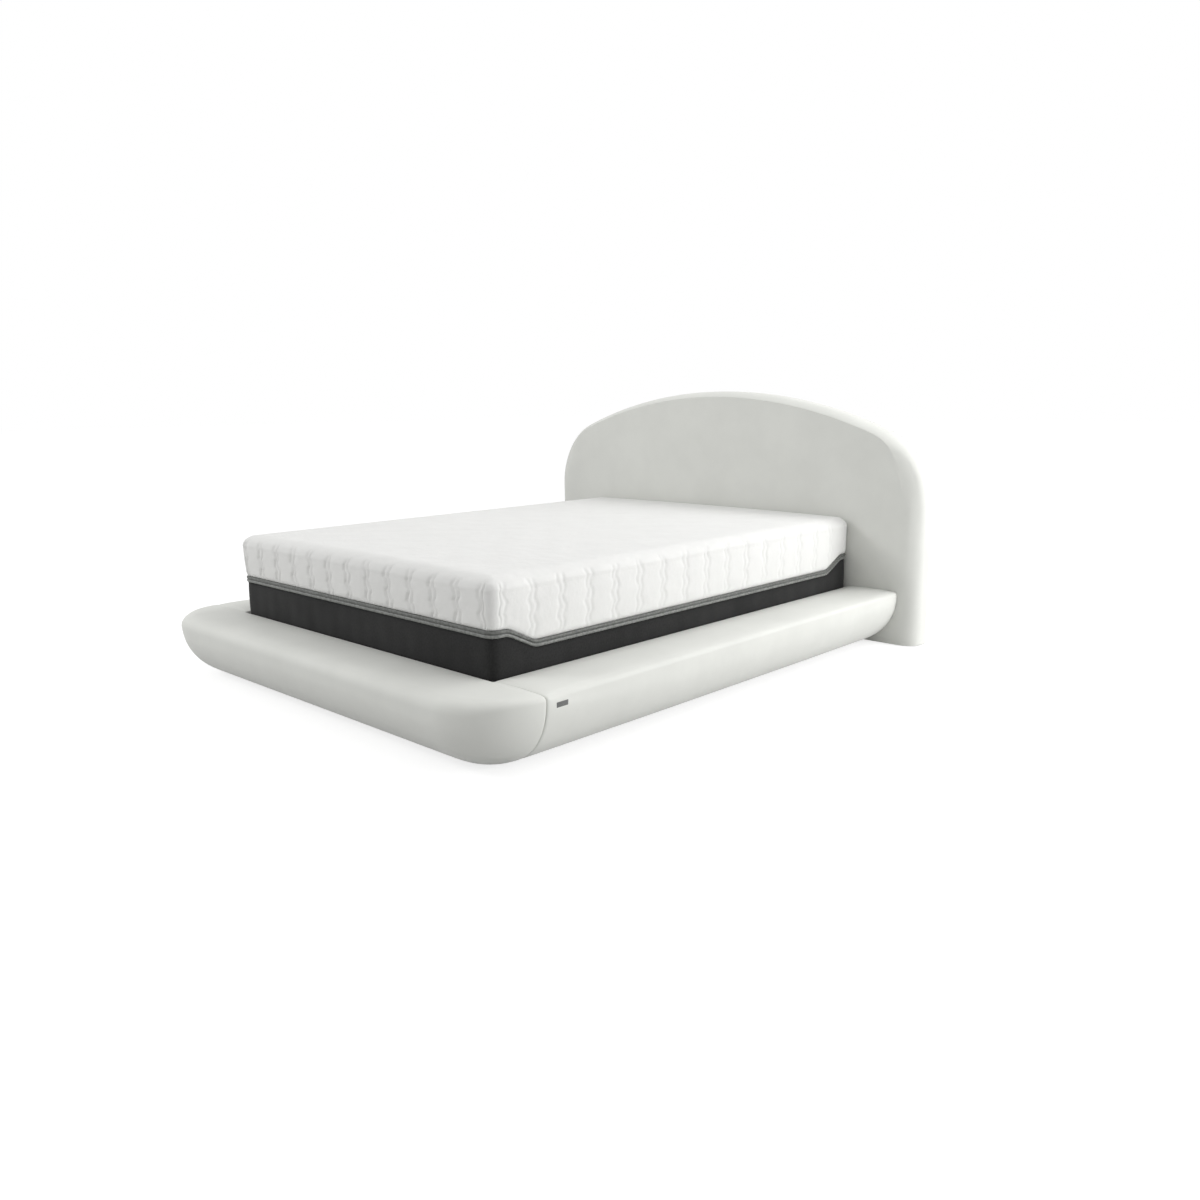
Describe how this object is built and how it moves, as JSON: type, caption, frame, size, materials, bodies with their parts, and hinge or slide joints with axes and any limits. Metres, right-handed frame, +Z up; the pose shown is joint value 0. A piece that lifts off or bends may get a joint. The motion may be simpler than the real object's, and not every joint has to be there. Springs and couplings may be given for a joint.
{
  "type": "upholstered platform bed with arched headboard",
  "caption": "Low upholstered platform bed: arched headboard with a rolled edge, wide bullnose rails, footboard with rounded ends, slatted base and a deep mattress that lifts out.",
  "frame": {"origin": "On the floor, at the middle of the bed's width and of its whole length.", "axes": "+X across the bed to the right of a viewer at the foot, +Y from the footboard to the headboard, +Z up."},
  "size_m": [2.19, 2.401, 1.095],
  "materials": {
    "upholstery": "matte",
    "pine": "matte",
    "plywood": "matte",
    "slat_wood": "satin",
    "lining_board": "matte",
    "foam": "matte",
    "spring_fabric": "matte",
    "border_knit": "matte",
    "cover_knit": "matte",
    "tape_dark": "matte",
    "tape_light": "matte",
    "webbing": "matte",
    "tab_weave": "matte",
    "nylon": "matte",
    "black_steel": "satin",
    "zinc_steel": "satin"
  },
  "bodies": {
    "frame": {"beam_hangers": "black_steel", "beam_screws": "zinc_steel", "bracket_bolts": "zinc_steel", "centre_beam": "black_steel", "centre_legs": "black_steel", "fabric_tab": "tab_weave", "foot_corner_brackets": "black_steel", "footboard_back_board": "pine", "footboard_batten": "pine", "footboard_corner_foam": "foam", "footboard_cover": "upholstery", "footboard_ribs": "pine", "footboard_skin": "plywood", "footboard_top_board": "plywood", "frame_glides": "nylon", "head_corner_brackets": "black_steel", "headboard_back_panel": "lining_board", "headboard_bolts": "zinc_steel", "headboard_cover": "upholstery", "headboard_cross_rails": "pine", "headboard_face_board": "plywood", "headboard_glides": "nylon", "headboard_rim": "pine", "headboard_screws": "zinc_steel", "headboard_stiles": "pine", "insert_nuts": "zinc_steel", "ledger_screws": "zinc_steel", "left_rail_batten": "pine", "left_rail_cover": "upholstery", "left_rail_inner_board": "pine", "left_rail_ribs": "pine", "left_rail_skin": "plywood", "left_rail_top_board": "plywood", "left_slat_ledger": "pine", "leg_plugs": "nylon", "right_rail_batten": "pine", "right_rail_cover": "upholstery", "right_rail_inner_board": "pine", "right_rail_ribs": "pine", "right_rail_skin": "plywood", "right_rail_top_board": "plywood", "right_slat_ledger": "pine", "slat_straps": "webbing", "slats": "slat_wood"},
    "mattress": {"mattress_base_foam": "foam", "mattress_border": "border_knit", "mattress_comfort_foam": "foam", "mattress_end_foam": "foam", "mattress_lower_cord": "tape_light", "mattress_side_foam": "foam", "mattress_spring_unit": "spring_fabric", "mattress_top_cover": "cover_knit", "mattress_transition_foam": "foam", "mattress_upper_cord": "tape_dark"},
    "foot_end_foot": {"foot_leveller": "nylon"},
    "middle_foot": {"middle_leveller": "nylon"},
    "head_end_foot": {"head_leveller": "nylon"}
  },
  "joints": [
    {"name": "mattress_lift", "type": "slide", "parent": "frame", "child": "mattress", "axis": [0, 0, 1], "range_m": [0, 0.35]},
    {"name": "foot_end_foot_screw", "type": "slide", "parent": "frame", "child": "foot_end_foot", "axis": [0, 0, -1], "range_m": [0, 0.012]},
    {"name": "middle_foot_screw", "type": "slide", "parent": "frame", "child": "middle_foot", "axis": [0, 0, -1], "range_m": [0, 0.012]},
    {"name": "head_end_foot_screw", "type": "slide", "parent": "frame", "child": "head_end_foot", "axis": [0, 0, -1], "range_m": [0, 0.012]}
  ]
}
